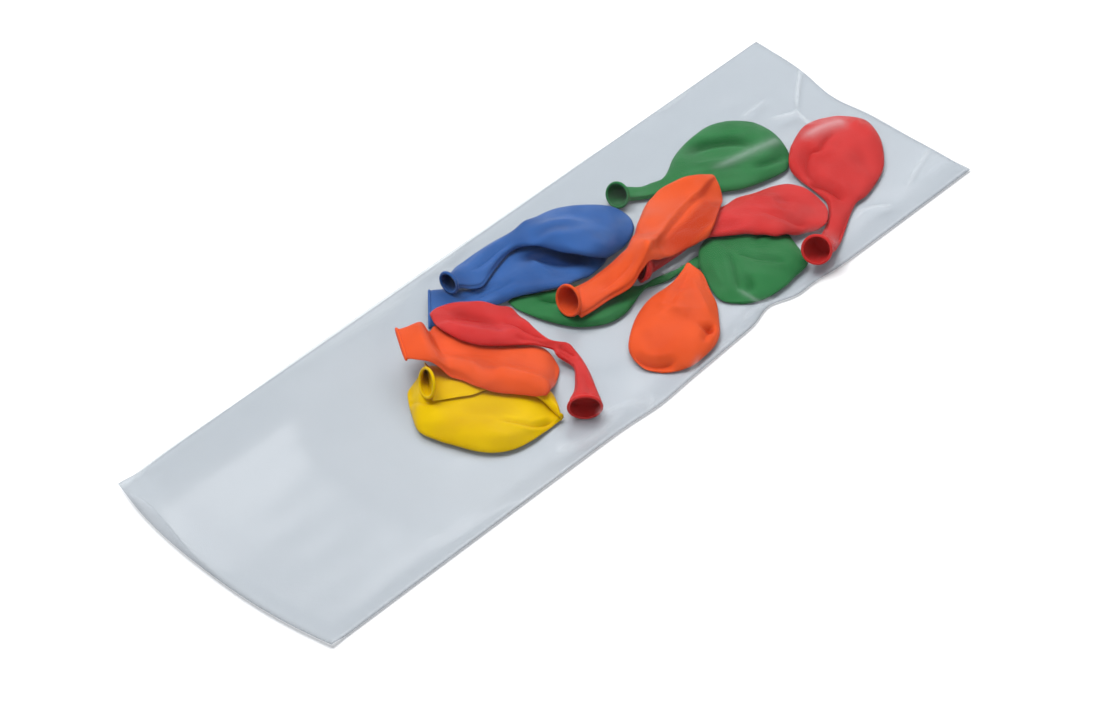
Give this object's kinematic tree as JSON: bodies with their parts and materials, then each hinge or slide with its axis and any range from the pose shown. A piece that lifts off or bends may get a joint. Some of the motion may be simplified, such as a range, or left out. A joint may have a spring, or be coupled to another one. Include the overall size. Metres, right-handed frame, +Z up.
{
  "type": "flat poly bag of uninflated balloons",
  "caption": "Long flat clear film bag, sealed at one end and open at the other, holding a loose heap of uninflated party balloons, lying on its back.",
  "frame": {"origin": "under the middle of the bag, on the surface it lies on", "axes": "+X along the bag from its open mouth to its sealed end, +Y across it, +Z up through the heap"},
  "size_m": [0.5, 0.16, 0.0286],
  "materials": {
    "clear_film": "clear, glossy, slightly hazy film",
    "latex_green": "satin latex",
    "latex_red": "satin latex",
    "latex_orange": "satin latex",
    "latex_blue": "satin latex",
    "latex_yellow": "satin latex"
  },
  "bodies": {
    "root": {"bag_film_lower": "clear_film", "bag_film_upper": "clear_film", "green_balloon_long": "latex_green", "green_balloon_far": "latex_green", "green_balloon_near": "latex_green", "red_balloon_end": "latex_red", "red_balloon_middle": "latex_red", "red_balloon_mouth": "latex_red", "blue_balloon_low": "latex_blue", "blue_balloon_high": "latex_blue", "orange_balloon_centre": "latex_orange", "orange_balloon_near": "latex_orange", "orange_balloon_mouth": "latex_orange", "yellow_balloon": "latex_yellow"}
  },
  "joints": []
}
